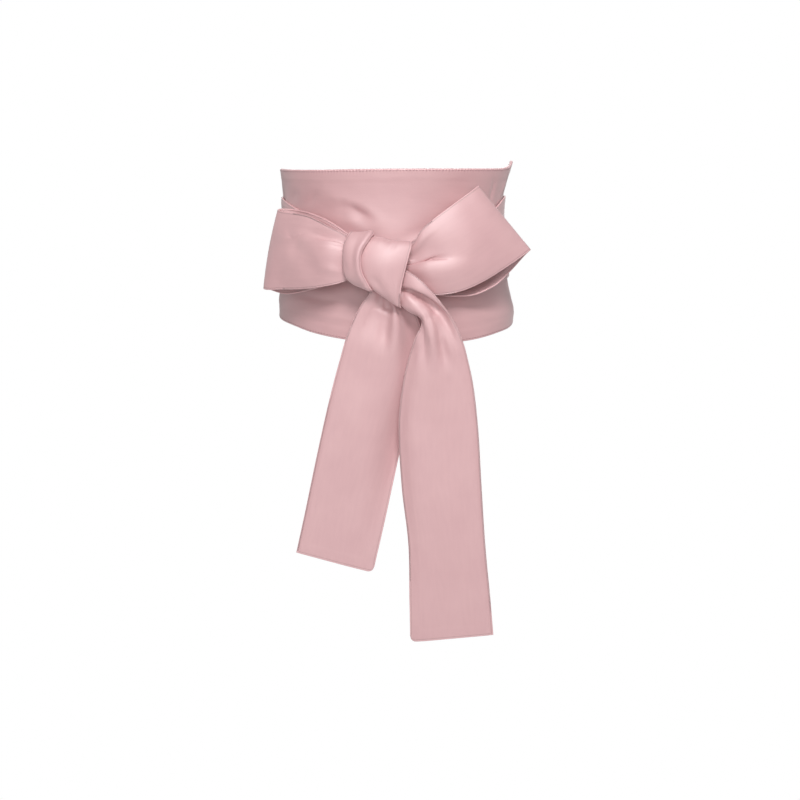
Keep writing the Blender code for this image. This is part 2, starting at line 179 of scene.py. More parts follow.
# The tie sewn to the left end, the same way, with the angle measured the other way round.
WRAP_RIGHT = (
    (158.5, -37, 39, -1.2),
    (163, -34, 39.5, -1.2),
    (170, -10, 40.5, -1.3),
    (175.5, 1, 41.5, -1.2),
    (180, 1, 41.5, 0.4),
    (184.5, 1, 41.5, 1.6),
    (190, -3.5, 42, 1.7),
    (200, -17, 42, 1.7),
    (213, -31, 42, 1.6),
    (228, -36, 42, 1.7),
    (270, -34, 43.5, 1.8),
    (285, -36, 40, 1.8),
    (297, -38, 32, 1.8),
    (312, -40, 23, 1.8),
    (330, -39, 11, 1.9),
    (340, -36, 4, 2.3),
    (347, -33, -1, 3.2),
    (354, -29, -4, 5.4),
    (360.7, -26, -5, 7.8),
)
WRAP_RIGHT_CREASES = (
    (0.38, 0.28, 0.55, 0.34, 0.74, 0.38, 0, -0.7, 0, 4, 5),
    (0.5, 0.66, 0.66, 0.62, 0.82, 0.54, 0, 0.7, 0.2, 5, 5),
    (0.16, 0.72, 0.26, 0.6, 0.38, 0.58, 0.7, 0.8, 0, 3, 5),
)
WRAP_FOLDS = (
    (0, 0.18, 0, 0.06, 0.13, 0.18, 1.5, 0.09),
    (0, 0.5, 0, 0.06, 0.13, 0.5, 1.8, 0.09),
    (0, 0.82, 0, 0.06, 0.13, 0.82, 1.5, 0.09),
    (0.13, 0.18, 1.5, 0.09, 0.32, 0.14, 0, 0.08),
    (0.13, 0.5, 1.8, 0.09, 0.36, 0.52, 0, 0.08),
    (0.13, 0.82, 1.5, 0.09, 0.34, 0.88, 0, 0.08),
)

# The left loop, out along its front layer, round the fold and back. Each row holds the place of its
# upper edge, the place of its lower edge, and how far the cloth bulges between them.
LOOP_LEFT = (
    (-37.5, -105.5, 2, -37.5, -104.5, -29, 1.5),
    (-46, -108.5, 10, -46, -107.5, -33.5, 2.5),
    (-60, -105, 17, -61, -106, -37.5, 5),
    (-79, -92, 25.6, -86, -93, -41.5, 6),
    (-97, -77, 28.8, -108, -78, -43, 4.5),
    (-106.5, -68.5, 30, -121, -69, -44, 2.5),
    (-109.5, -64, 31.4, -124.1, -64, -43.6, 1.8),
    (-106.5, -60, 32.2, -121, -60, -44.2, 2),
    (-93, -62.5, 31.2, -104, -63, -48.5, 2),
    (-78, -75, 28, -84, -75, -44.8, 2),
    (-60, -88, 20.6, -61, -88, -37.6, 1.5),
    (-37.5, -99, 6, -37.5, -99, -30, 0.5),
)
LOOP_LEFT_FOLDS = (
    (0, 0.3, -0.8, 0.12, 0.22, 0.26, 0, 0.14),
    (0, 0.36, 0.6, 0.16, 0.24, 0.4, 0, 0.18, 5),
    (0, 0.8, -1, 0.12, 0.22, 0.8, 0, 0.14),
)
LOOP_LEFT_CREASES = (
    (0.02, 0.26, 0.118, 0.274, 0.225, 0.28, 0.7, 1.1, 0, 0.8, 24, 0.4, -2.2),
    (0.03, 0.16, 0.165, 0.19, 0.33, 0.26, -1.4, -3, 0, 7, 5),
    (0.36, 0.3, 0.31, 0.44, 0.19, 0.44, 0, -2.4, 0, 9, 10),
    (0.17, 0.52, 0.215, 0.7, 0.262, 0.9, 0, -1, 0, 9, 10),
    (0.01, 0.85, 0.1, 0.76, 0.2, 0.69, 0.6, 1, 0, 4, 4),
    (0.37, 0.24, 0.39, 0.33, 0.37, 0.44, 0, 1, 0, 9, 9),
    (0.6, 0.035, 0.78, 0.035, 0.96, 0.04, 0.5, 0.6, 0.6, 9, 0.5),
    (0.985, 0.3, 0.86, 0.34, 0.72, 0.34, -1.2, -1.3, 0, 5, 3),
    (0.985, 0.68, 0.88, 0.62, 0.74, 0.64, 1.2, 1.1, 0, 4, 4),
)

# The right loop, the same way, from its lower to its upper edge.
LOOP_RIGHT = (
    (3, -101.5, -31, 3, -103.5, -3, 1),
    (15, -103.5, -38.5, 15, -107.5, 0.5, 2.5),
    (38, -106.5, -46, 24, -109.5, 14, 5),
    (60, -104.5, -42.6, 36, -108.5, 24.5, 7),
    (81, -98, -34.2, 49, -105, 34.2, 7),
    (104, -88, -21, 62.5, -98, 43.8, 5),
    (121, -78.5, -10.2, 72.8, -91.5, 51, 2),
    (126.6, -74, -6.6, 76, -87, 53.3, 0),
    (122, -70, -11.5, 72.8, -82.5, 50.5, 2),
    (108, -74.5, -26.5, 62, -84, 40, 3),
    (92, -82, -40, 50, -90, 29.5, 3),
    (66, -92, -48.4, 36, -96, 19.5, 2),
    (40, -97, -47, 22, -98.5, 7.5, 1),
    (3, -98.2, -31, 3, -98.4, -3, 0.5),
)
LOOP_RIGHT_FOLDS = (
    (0, 0.72, -3, 0.12, 0.24, 0.66, 0, 0.16),
    (0, 0.58, 2.8, 0.24, 0.22, 0.56, 0, 0.2, 6),
    (0, 0.26, -2, 0.12, 0.22, 0.34, 0, 0.16),
)
LOOP_RIGHT_CREASES = (
    (0.02, 0.45, 0.14, 0.56, 0.36, 0.25, -2.4, -4.6, 0, 7, 17),
    (0.02, 0.43, 0.11, 0.495, 0.235, 0.405, 0.5, 0.9, 0, 22, 0.7, 0.4, 2.6),
    (0.02, 0.452, 0.11, 0.515, 0.225, 0.425, -1.6, -2.6, 0, 0.7, 4.5),
    (0.02, 0.25, 0.13, 0.3, 0.29, 0.28, 0.6, 1, 0, 7, 7),
    (0.02, 0.8, 0.11, 0.87, 0.23, 0.9, 0.8, 1.2, 0, 4, 5),
    (0.25, 0.2, 0.33, 0.32, 0.4, 0.42, 0, -0.8, 0, 9, 9),
    (0.58, 0.04, 0.76, 0.035, 0.96, 0.035, 0.5, 0.7, 0.7, 9, 0.5),
    (0.56, 0, 0.74, 0, 0.93, 0, 0, -4, 0, 3, 3.5),
    (0.58, 0.12, 0.74, 0.13, 0.93, 0.12, 0, 4.4, 0, 6, 20),
    (0.985, 0.6, 0.88, 0.66, 0.72, 0.56, -1.3, -1.5, 0, 5, 6),
    (0.985, 0.38, 0.87, 0.42, 0.74, 0.34, 1.2, 1.3, 0, 4, 2.5),
)

# The left tail, down from the knot, from its left to its right edge.
TAIL_LEFT = (
    (-21, -105, -37, 2, -105, -37, 0),
    (-25.3, -106, -46, 9, -105.5, -50, 1),
    (-31.2, -106, -54, 17, -105, -60, 2),
    (-39, -105, -69, 24, -104, -74, 2.5),
    (-45.4, -103.5, -85, 26, -103, -92, 2.5),
    (-50.9, -102, -104, 24, -101.5, -114, 2),
    (-57.3, -101, -127, 19, -100.5, -141, 1.5),
    (-64.5, -100.5, -156, 11, -100, -171.5, 1),
    (-74.7, -100, -201.5, 0.2, -99.5, -218.5, 1),
    (-86.3, -99.5, -256, -12.2, -99, -272.5, 0.5),
    (-94, -99.5, -290.5, -21.2, -99, -310.8, 0),
)
TAIL_LEFT_FOLDS = (
    (0, 0.36, -1.4, 0.1, 0.22, 0.22, 0, 0.1),
    (0, 0.52, -1.6, 0.08, 0.3, 0.5, 0, 0.1),
    (0, 0.62, 3, 0.09, 0.34, 0.62, 0, 0.12),
    (0, 0.82, -2, 0.1, 0.4, 0.84, 0, 0.14),
)
TAIL_LEFT_CREASES = (
    (0.045, 0.44, 0.078, 0.52, 0.115, 0.5, -3, -4, -0.5, 8, 4),
    (0.04, 0.3, 0.12, 0.25, 0.26, 0.25, 0, -3.2, 0, 12, 12),
    (0.095, 0.48, 0.16, 0.48, 0.26, 0.52, -1, -2.8, 0, 8, 6),
    (0.075, 0.62, 0.15, 0.64, 0.34, 0.66, 1, 1.8, 0, 6, 7),
    (0.07, 0.93, 0.2, 0.93, 0.46, 0.96, -5, -9.5, 0, 13, 30),
    (0.28, 0.98, 0.52, 0.98, 1, 1, 0, -14, -1.5, 18, 30),
    (0.1, 0, 0.5, 0, 1, 0, 0, -1.2, -0.8, 3, 3),
    (0.3, 0.4, 0.48, 0.36, 0.64, 0.42, 0, 1.1, 0, 12, 12),
    (0.62, 0.6, 0.78, 0.5, 0.94, 0.54, 0, -1, 0, 12, 12),
)

# The right tail, out of the knot to the right and down, from its left to its right edge.
TAIL_RIGHT = (
    (3, -109, -50, 4, -111.5, -19.5, 0),
    (7, -111.5, -55.5, 12, -114.5, -21.3, 1),
    (13, -113.5, -60.5, 23.5, -117, -28.6, 2),
    (20, -114.5, -63.5, 34.8, -118, -41.3, 2.5),
    (23.8, -114.5, -67.5, 45.3, -118, -55.4, 3),
    (22.5, -113.5, -75, 54.2, -116.5, -68.6, 3.5),
    (18, -112, -85, 62.2, -114.5, -87.1, 4),
    (12, -110.5, -101.7, 67.5, -112, -106, 4),
    (6, -109, -130, 72.5, -110, -129, 3),
    (2.5, -108, -168.7, 77.3, -108.5, -168.7, 2),
    (5.5, -107.5, -225, 81, -107.5, -224, 1.5),
    (12.2, -107, -284, 85.3, -107, -284, 1),
    (13.2, -107, -335, 90.2, -107, -333, 0.5),
    (14.2, -107, -376.4, 93.4, -107, -369, 0),
)
TAIL_RIGHT_FOLDS = (
    (0, 0.34, -2.4, 0.1, 0.13, 0.78, -2.4, 0.16),
    (0.13, 0.78, -2.4, 0.16, 0.32, 0.8, 0, 0.14),
    (0, 0.42, 1, 0.6, 0.14, 1, 0.4, 0.3, 10),
    (0, 0.12, 1.5, 0.12, 0.15, 0.16, 2.5, 0.12),
    (0.15, 0.16, 2.5, 0.12, 0.36, 0.26, 0, 0.12),
    (0.06, 0.3, 0, 0.09, 0.16, 0.4, 1.8, 0.12),
    (0.16, 0.4, 1.8, 0.12, 0.3, 0.5, 0, 0.14),
    (0.1, 0.62, 0, 0.1, 0.2, 0.62, -1.2, 0.12),
    (0.2, 0.62, -1.2, 0.12, 0.38, 0.66, 0, 0.14),
)
TAIL_RIGHT_CREASES = (
    (0.012, 0.505, 0.056, 0.725, 0.125, 0.905, 1.2, 2, 0, 0.8, 26, 0.3, -2.6),
    (0.012, 0.46, 0.06, 0.68, 0.15, 0.88, -2.6, -4.8, 0, 8, 1.2),
    (0.06, 0.56, 0.125, 0.715, 0.23, 0.82, -2, -5, 0, 8, 4),
    (0.015, 0.3, 0.055, 0.3, 0.15, 0.12, 1, 2.2, 0, 5, 6),
    (0.08, 0.16, 0.165, 0.3, 0.26, 0.48, 0, 2.2, 0, 4, 8),
    (0.13, 0.02, 0.2, 0.2, 0.3, 0.33, -1.5, -2.8, 0, 5, 4),
    (0.13, 0.44, 0.2, 0.54, 0.29, 0.64, -2, -3.2, 0, 6, 6),
    (0.14, 0.6, 0.2, 0.7, 0.27, 0.79, 0.8, 1.4, 0, 4, 5),
    (0.23, 0, 0.5, 0, 1, 0, -2, -4.5, -1.6, 9, 9),
    (0.2, 1, 0.6, 1, 1, 1, -0.6, -1.2, -0.8, 3, 3),
    (0.3, 0.45, 0.42, 0.4, 0.56, 0.46, 0, -1.2, 0, 12, 12),
    (0.52, 0.6, 0.7, 0.52, 0.9, 0.6, 0, 1, 0, 14, 14),
)

# The band over the knot, from behind its top, down the front and under, from its left edge across.
KNOT_BAND = (
    (-21, -103.5, 5.5, 12, -103.5, 2.4, 0),
    (-22, -111, 7.5, 14.6, -110.8, 2.4, 0.3),
    (-26, -116.5, 3.5, 15, -117, 0.4, 2.5),
    (-32.5, -118, -5, 12.8, -121.5, -9, 4.5),
    (-35, -118.5, -14.5, 9.8, -123, -20.2, 5.5),
    (-32.5, -118, -26, 6.7, -123, -33.5, 4.5),
    (-24, -116.5, -36.5, 4.8, -121, -50, 2),
    (-18, -114.5, -39.5, 5, -117, -57, 0.5),
    (-17, -110.5, -37.5, 3.7, -111.5, -54, 0),
)
KNOT_BAND_CREASES = (
    (0, 0.48, 0.11, 0.48, 0.33, 0.45, -1.6, -1.8, 0, 4, 6),
    (0.16, 0.64, 0.25, 0.65, 0.35, 0.66, -0.3, -0.7, 0, 2.5, 2.5),
    (0.6, 0.24, 0.7, 0.4, 0.84, 0.56, 0, -1.2, -0.4, 5, 5),
    (0.56, 0.93, 0.7, 0.925, 0.98, 0.9, 0, -0.6, -0.7, 0.5, 6),
)

# The turn of cloth left of that band, the same way, with a rolled rim along its right edge.
KNOT_COLLAR = (
    (-40, -101, 7, -19.5, -104.5, 7.5, 0.5),
    (-41, -109.5, 11.3, -19, -112, 11.2, 0.6),
    (-45, -113.7, 6, -24.2, -120.8, 4.5, 1.5),
    (-47.8, -114.6, -1, -29.6, -124.4, -4, 2),
    (-48.4, -114.9, -12, -31.5, -125.6, -13, 2),
    (-47.6, -114.2, -23.5, -30, -124.6, -24.5, 2),
    (-44.5, -112.8, -31, -25, -122.2, -34.4, 1.5),
    (-37, -110.8, -35.5, -21.2, -119.2, -41.2, 0.5),
    (-34, -108, -34.5, -20.4, -113.4, -42, 0),
)
KNOT_COLLAR_CREASES = (
    (0.06, 0.9, 0.5, 0.92, 0.92, 0.91, 0.6, 0.7, 0.4, 3, 1.6),
    (0.08, 0.86, 0.15, 0.86, 0.26, 0.84, 0.8, 1, 0, 3, 3),
    (0.05, 1, 0.5, 1, 0.95, 1, -1.6, -2.4, -1.4, 1.5, 1.5),
    (0.16, 0.36, 0.48, 0.62, 0.86, 0.45, -0.7, -1.5, -0.4, 6, 4),
    (0.48, 0.12, 0.62, 0.2, 0.8, 0.1, 0, -0.7, 0, 2.5, 3.5),
    (0.2, 0, 0.5, 0, 0.9, 0, -0.6, -1.2, -0.6, 2, 2),
)

# The hidden layers inside the knot, as one rounded piece.
KNOT_CORE_CENTRE = (-16.8, -107.1, -16.5)
KNOT_CORE_HALF = (18.0, 14.2, 18.1)
KNOT_CORE_SQUARENESS = 3.0
KNOT_CORE_PLEATS = 7
KNOT_CORE_PLEAT_DEPTH = 0.8

# The flat width of a cut tie, in metres.
TIE_WIDTH = 0.078

# Lengths that set how many points a sheet gets: once round the body, and up the front of the panel.
BODY_GIRTH = 640.0
PANEL_HEIGHT = 163.0

# The power that brings the rows of points on a tail closer together at the knot.
TAIL_CLOSER = 1.5

# The share of the turned-in allowance that shows through a tie, and the width of its slope.
TIE_STEP = 0.3
STEP_SLOPE = 1.2

# The groove between the two plies at a rim: its depth as a share, and its half angle.
GROOVE_DEPTH = 0.35
GROOVE_ANGLE = 0.35

# The topstitching: its distance from the panel's ends, the share of the thread that is sunk in the
# cloth, and the columns of points near an edge that it is looked for in.
STITCH_START = 4.0
STITCH_SUNK = 0.15
STITCH_COLUMNS = 6

# The weave's floats, streaks and soft clouds, the painted highlight along its rim, the seam's groove
# with its painted shade, and its puckers.
WEAVE_STRETCH = (0.16, 1.0, 1.0)
FLOAT_SCALE = 2600.0
STREAK_SCALE = 320.0
CLOUD_SCALE = 26.0
RIM_LIGHT_FULL = 0.0005
RIM_LIGHT_NONE = 0.0012
SEAM_INSET = 0.0018
SEAM_REACH = 0.0007
PUCKER_TURN = 2026.0
PUCKER_FADE = 190.0

# The camera of the photograph, and the place that the lights face.
CAMERA_PLACE = (0.0045, -1.4835, 0.0625)
CAMERA_TILT = 81.5
CAMERA_LENS = 67.5
CAMERA_SENSOR = 36.0
LIT_PLACE = (0.0, -0.04, -0.08)

# Each light's place, its size, and its share of the key light's power.
LIGHTS = (
    ("key", (0.16, -1.42, 1.14), 0.5, 1.0),
    ("front", (-0.10, -1.90, 0.30), 0.9, 0.38),
    ("side_left", (-2.2, 0.9, 0.3), 1.4, 0.12),
    ("side_right", (2.2, 0.9, 0.3), 1.4, 0.12),
    ("back", (0.2, 2.3, 0.9), 1.4, 0.9),
)
FLOOR_SIZE = 30.0


class ObiCloth(bpy.types.PropertyGroup):
    """The cloth's walls, and how finely it is modelled."""

    tie_wall: bpy.props.FloatProperty(
        name="Tie wall", description="Thickness of a tie, pressed flat",
        default=0.0015, min=0.0005, max=0.0016, unit="LENGTH",
    )
    panel_wall: bpy.props.FloatProperty(
        name="Panel wall", description="Thickness of the lined panel",
        default=0.0023, min=0.001, max=0.0024, unit="LENGTH",
    )
    allowance: bpy.props.FloatProperty(
        name="Seam allowance",
        description="Width of the turned-in cloth that shows as a soft step along an edge",
        default=0.011, unit="LENGTH",
    )
    allowance_rise: bpy.props.FloatProperty(
        name="Allowance rise", description="How far the turned-in cloth lifts the surface",
        default=0.0003, unit="LENGTH",
    )
    worn_corner: bpy.props.FloatProperty(
        name="Worn corner", description="Radius of the softened corner at the hem of each tail",
        default=0.006, min=0.001, unit="LENGTH",
    )
    fine: bpy.props.FloatProperty(
        name="Fine spacing", description="Distance between points on the bow",
        default=0.0009, min=0.0005, unit="LENGTH",
    )
    coarse: bpy.props.FloatProperty(
        name="Coarse spacing", description="Distance between points on the panel and round the body",
        default=0.0018, min=0.0005, unit="LENGTH",
    )


class ObiSatin(bpy.types.PropertyGroup):
    """The finish of the satin and of its thread."""

    colour: bpy.props.FloatVectorProperty(
        name="Satin", description="Colour of the satin",
        default=(0.655, 0.386, 0.395), size=3, min=0.0, max=1.0, subtype="COLOR",
    )
    thread: bpy.props.FloatVectorProperty(
        name="Thread", description="Colour of the topstitching",
        default=(0.50, 0.22, 0.25), size=3, min=0.0, max=1.0, subtype="COLOR",
    )
    roughness: bpy.props.FloatProperty(
        name="Roughness", description="Roughness of the satin's face",
        default=0.58, min=0.0, max=1.0, subtype="FACTOR",
    )
    sheen: bpy.props.FloatProperty(
        name="Sheen", description="Soft light along edges that turn away",
        default=0.3, min=0.0, max=1.0, subtype="FACTOR",
    )


class ObiStitch(bpy.types.PropertyGroup):
    """The topstitching along the panel's edges."""

    pitch: bpy.props.FloatProperty(
        name="Pitch", description="Distance from one stitch to the next",
        default=0.0031, unit="LENGTH",
    )
    length: bpy.props.FloatProperty(
        name="Length", description="Length of the thread that shows in a stitch",
        default=0.0023, unit="LENGTH",
    )
    thickness: bpy.props.FloatProperty(
        name="Thickness", description="Thickness of the thread",
        default=0.00055, unit="LENGTH",
    )
    inset: bpy.props.FloatProperty(
        name="Inset", description="Distance of the stitching from the edge",
        default=0.0022, unit="LENGTH",
    )


class ObiStudio(bpy.types.PropertyGroup):
    """The floor and the light."""

    floor: bpy.props.FloatProperty(
        name="Floor", description="Height of the floor under a worn belt",
        default=-0.95, unit="LENGTH",
    )
    key: bpy.props.FloatProperty(
        name="Key light", description="Power of the large light in front",
        default=23.6, unit="POWER",
    )
    ambient: bpy.props.FloatProperty(
        name="Surrounding light", description="Strength of the light from all around",
        default=0.30, min=0.0,
    )


def between(table, positions):
    """Each column of a table at the given values of its first column, along monotone cubics."""
    data = np.array(table, float)
    knots, values = data[:, 0], data[:, 1:]
    steps = np.diff(knots)[:, None]
    slopes = np.diff(values, axis=0) / steps
    tangents = np.vstack([slopes[:1], (slopes[:-1] + slopes[1:]) / 2, slopes[-1:]])
    turning = slopes[:-1] * slopes[1:] <= 0
    tangents[1:-1][turning] = 0.0
    limit = 3 * np.minimum(np.abs(slopes[:-1]), np.abs(slopes[1:]))
    tangents[1:-1] = np.clip(tangents[1:-1], -limit, limit)
    cell = np.clip(np.searchsorted(knots, positions) - 1, 0, len(knots) - 2)
    share = ((positions - knots[cell]) / steps[cell, 0])[:, None]
    square, cube = share**2, share**3
    return (
        (2 * cube - 3 * square + 1) * values[cell]
        + (cube - 2 * square + share) * steps[cell] * tangents[cell]
        + (3 * square - 2 * cube) * values[cell + 1]
        + (cube - square) * steps[cell] * tangents[cell + 1]
    )


def smoothstep(share):
    share = np.clip(share, 0.0, 1.0)
    return share * share * (3 - 2 * share)


def fold_height(folds, along, across):
    """How far the broad folds lift the cloth at each place of a sheet."""
    height = np.zeros(np.broadcast(along, across).shape)
    for row in folds:
        fold = Fold(*row)
        length = fold.along_1 - fold.along_0
        share = np.clip((along - fold.along_0) / length, 0.0, 1.0)
        middle = fold.across_0 + (fold.across_1 - fold.across_0) * share
        spread = fold.spread_0 + (fold.spread_1 - fold.spread_0) * share
        rise = fold.height_0 + (fold.height_1 - fold.height_0) * smoothstep(share)
        inside = (along >= fold.along_0) & (along < fold.along_1)
        first_side = spread * min(1.0, 1.0 / fold.steepness)
        second_side = spread * min(1.0, fold.steepness)
        side = np.where(across < middle, first_side, second_side)
        ridge = rise * np.exp(-(((across - middle) / side) ** 2))
        height += np.where(inside, ridge, 0.0)
    return height


def unit(vectors):
    return vectors / np.linalg.norm(vectors, axis=-1, keepdims=True)


def normals_of(grid):
    """The unit normal at each point of a grid of points."""
    return unit(np.cross(np.gradient(grid, axis=0), np.gradient(grid, axis=1)))


def flat_places(grid):
    """Where each point of a grid lies when the sheet is pressed flat: along it and across it."""
    steps_along = np.linalg.norm(np.diff(grid, axis=0), axis=2).mean(axis=1)
    steps_across = np.linalg.norm(np.diff(grid, axis=1), axis=2)
    along = np.concatenate([[0.0], np.cumsum(steps_along)])
    across = np.zeros(grid.shape[:2])
    across[:, 1:] = np.cumsum(steps_across, axis=1)
    across -= across[:, -1:] / 2
    return np.stack([np.broadcast_to(along[:, None], across.shape), across], axis=2)


def crease_path(crease, flat, steps=18):
    """The line that a crease follows on the flat sheet, and its height there."""
    share = np.linspace(0.0, 1.0, steps + 1)
    weights = ((1 - share) * (1 - 2 * share), 4 * share * (1 - share), share * (2 * share - 1))
    along, across = np.array(crease[:6]).reshape(3, 2).T @ weights
    row = np.interp(along, flat[:, 0, 0] / flat[-1, 0, 0], np.arange(flat.shape[0]))
    column = np.clip(across, 0, 1) * (flat.shape[1] - 1)
    above = np.minimum(row.astype(int), flat.shape[0] - 2)
    before = np.minimum(column.astype(int), flat.shape[1] - 2)
    down, side = (row - above)[:, None], (column - before)[:, None]
    upper = flat[above, before] * (1 - side) + flat[above, before + 1] * side
    lower = flat[above + 1, before] * (1 - side) + flat[above + 1, before + 1] * side
    line = upper * (1 - down) + lower * down
    early = crease.height_0 + (crease.height_1 - crease.height_0) * smoothstep(share * 2)
    late = crease.height_1 + (crease.height_2 - crease.height_1) * smoothstep(share * 2 - 1)
    return line, np.where(share < 0.5, early, late)


def creased(grid, creases):
    """The grid with its creases: each point is lifted, and leant across the sheet."""
    flat = flat_places(grid)
    lift = np.zeros(grid.shape[:2])
    lean = np.zeros(grid.shape[:2])
    for row in creases:
        crease = Crease(*row)
        line, height = crease_path(crease, flat)
        steps = np.diff(line, axis=0)
        away = flat[:, :, None, :] - line[:-1]
        share = np.clip((away * steps).sum(axis=3) / (steps**2).sum(axis=1), 0.0, 1.0)
        off = away - share[..., None] * steps
        distance = np.linalg.norm(off, axis=3)
        cell = distance.argmin(axis=2)
        nearest = (*np.indices(cell.shape), cell)
        near, share, off = distance[nearest], share[nearest], off[nearest]
        rise = height[cell] + (height[cell + 1] - height[cell]) * share
        ahead = unit(steps)[cell]
        turn = ahead[..., 0] * off[..., 1] - ahead[..., 1] * off[..., 0]
        turn = turn / np.maximum(near, 1e-9)
        middle = (crease.first_side + crease.second_side) / 2
        side = middle + turn * (crease.second_side - crease.first_side) / 2
        profile = np.exp(-((near / side) ** (2.0 - crease.crispness)))
        lift += rise * profile
        lean += crease.lean * profile * np.abs(rise) / max(np.abs(height).max(), 1e-6)
    across = unit(np.gradient(grid, axis=1))
    return grid + normals_of(grid) * lift[..., None] + across * lean[..., None]


def ribbon(sections, spacing, folds=(), closer=1.0):
    """A sheet through the sections: rows along it, closer together at its start, and columns across."""
    flat = np.array(sections, float)
    middle = (flat[:, 0:3] + flat[:, 3:6]) / 2
    steps = np.linalg.norm(np.diff(middle, axis=0), axis=1)
    along = np.concatenate([[0.0], np.cumsum(steps)]) / steps.sum()
    width = np.linalg.norm(flat[:, 0:3] - flat[:, 3:6], axis=1).max()
    rows_at = np.linspace(0.0, 1.0, int(steps.sum() / spacing) + 1) ** closer
    across = np.linspace(0.0, 1.0, int(width / spacing) + 1)
    sampled = between(np.column_stack([along, flat]), rows_at)
    first, second = sampled[:, None, 0:3], sampled[:, None, 3:6]
    grid = first + (second - first) * across[None, :, None]
    bulge = sampled[:, 6:7] * 4 * across * (1 - across)
    lift = bulge + fold_height(folds, rows_at[:, None], across[None, :])
    return grid + normals_of(grid) * lift[:, :, None]


def with_corner(grid, side, radius):
    """The grid with the last corner on side 0 or 1 of its hem rounded off."""
    flat = flat_places(grid)
    from_edge = np.abs(flat[-1, :, 1] - flat[-1, -side, 1])
    inside = np.clip(radius - from_edge, 0.0, radius)
    cut = radius - np.sqrt(radius**2 - inside**2)
    to_hem = flat[-1, 0, 0] - flat[:, :1, 0]
    reach = np.clip(1 - to_hem / (3 * radius), 0.0, 1.0) ** 2
    down = unit(np.gradient(grid, axis=0))
    return grid - down * (reach * cut)[..., None]


def body_point(angle, height, offset):
    """The point that far outside the panel's outer face, at an angle round the body and a height."""
    angle, height, offset = np.broadcast_arrays(angle, height, offset)
    half_width, shift = between(BODY, height.ravel()).T.reshape(2, *height.shape)
    turn = np.radians(angle)
    power = 2 / BODY_ROUNDNESS
    side, ahead = (np.sign(v) * np.abs(v) ** power for v in (np.sin(turn), np.cos(turn)))
    x = (half_width + offset) * side + shift
    y = -(half_width * DEPTH_SHARE + offset) * ahead
    return np.stack([x, y, height], axis=-1)


def round_body(table, side, height, folds, spacing):
    """The middle of a sheet's wall on its way round the body, on side 1 or -1."""
    start, end = table[0][0], table[-1][0]
    rows = int((end - start) / 360 * BODY_GIRTH / spacing)
    angles = np.linspace(start, end, rows + 1)
    low, high, offset = between(table, angles).T[:, :, None]
    across = np.linspace(0.0, 1.0, int(height / spacing) + 1)[None, :]
    along = np.linspace(0.0, 1.0, rows + 1)[:, None]
    lift = offset + fold_height(folds, along, across)
    grid = body_point(side * angles[:, None], low + (high - low) * across, lift)
    return grid if side > 0 else grid[:, ::-1]


def panel_grid(cloth):
    """The middle of the panel's wall, from its lower edge up, with its creases."""
    table = [(*row, -cloth.panel_wall / MM / 2) for row in PANEL_EDGES]
    grid = round_body(table, 1.0, PANEL_HEIGHT, PANEL_FOLDS, cloth.coarse / MM)
    return creased(grid, PANEL_CREASES)


def shell(name, grid, half, material, turned_in, hem_ends=False, rim_steps=6):
    """A closed shell round a grid of points, with a rounded rim that shows the seam of two plies."""
    cloth = bpy.context.scene.obi_cloth
    rows, columns = grid.shape[:2]
    flat = flat_places(grid)
    inward = np.abs(flat[:, -1:, 1]) - np.abs(flat[..., 1])
    if hem_ends:
        ends = np.minimum(flat[..., 0], flat[-1, 0, 0] - flat[..., 0])
        inward = np.minimum(inward, ends)
    reach = cloth.allowance / MM + STEP_SLOPE / 2
    rise = cloth.allowance_rise / MM * smoothstep((reach - inward) / STEP_SLOPE)
    half = half + rise * turned_in
    normal = normals_of(grid)
    index = np.arange(rows * columns).reshape(rows, columns)
    ring = np.concatenate([index[0, :-1], index[:-1, -1], index[-1, :0:-1], index[:0:-1, 0]])
    border = np.divmod(ring, columns)
    down, side = unit(np.gradient(grid, axis=0)), unit(np.gradient(grid, axis=1))
    outward = np.zeros_like(grid)
    outward[:, -1] += side[:, -1]
    outward[:, 0] -= side[:, 0]
    outward[-1] += down[-1]
    outward[0] -= down[0]
    border_half = half[border][:, None]
    border_out = unit(outward[border])
    border_normal = normal[border]
    grid = grid.copy()
    grid[border] -= border_out * border_half
    outer = grid + normal * half[..., None]
    inner = grid - normal * half[..., None]
    turn = np.linspace(0, np.pi, rim_steps + 2)[1:-1]
    groove = GROOVE_DEPTH * bool(turned_in)
    dip = 1 - groove * np.exp(-(((turn - np.pi / 2) / GROOVE_ANGLE) ** 2))
    rim = [
        grid[border] + border_half * (border_normal * np.cos(t) + border_out * np.sin(t) * d)
        for t, d in zip(turn, dip)
    ]
    count = rows * columns
    points = np.concatenate([outer.reshape(-1, 3), inner.reshape(-1, 3), *rim]) * MM
    corners = [index[:-1, :-1], index[1:, :-1], index[1:, 1:], index[:-1, 1:]]
    face = np.stack(corners, axis=2).reshape(-1, 4)
    layers = [ring]
    layers += [2 * count + k * len(ring) + np.arange(len(ring)) for k in range(rim_steps)]
    layers += [ring + count]
    faces = [face, face[:, ::-1] + count]
    for upper, lower in zip(layers[:-1], layers[1:]):
        faces.append(np.stack([upper, np.roll(upper, -1), np.roll(lower, -1), lower], axis=1))
    faces = np.concatenate(faces)
    mesh = bpy.data.meshes.new(name)
    mesh.from_pydata(points.tolist(), [], faces.tolist())
    mesh.shade_smooth()
    piece = bpy.data.objects.new(name, mesh)
    bpy.context.scene.collection.objects.link(piece)
    flat = flat_places(grid)
    hem = np.stack([inward, flat[..., 0]], axis=2)
    corner = np.zeros(len(mesh.loops), int)
    mesh.loops.foreach_get("vertex_index", corner)
    for layer_name, places in (("cloth", flat), ("hem", hem)):
        face_places = places.reshape(-1, 2) * MM
        places = np.concatenate([face_places, face_places, np.tile(face_places[ring], (rim_steps, 1))])
        layer = mesh.uv_layers.new(name=layer_name)
        layer.data.foreach_set("uv", places[corner].ravel())
    mesh.materials.append(material)
    return piece


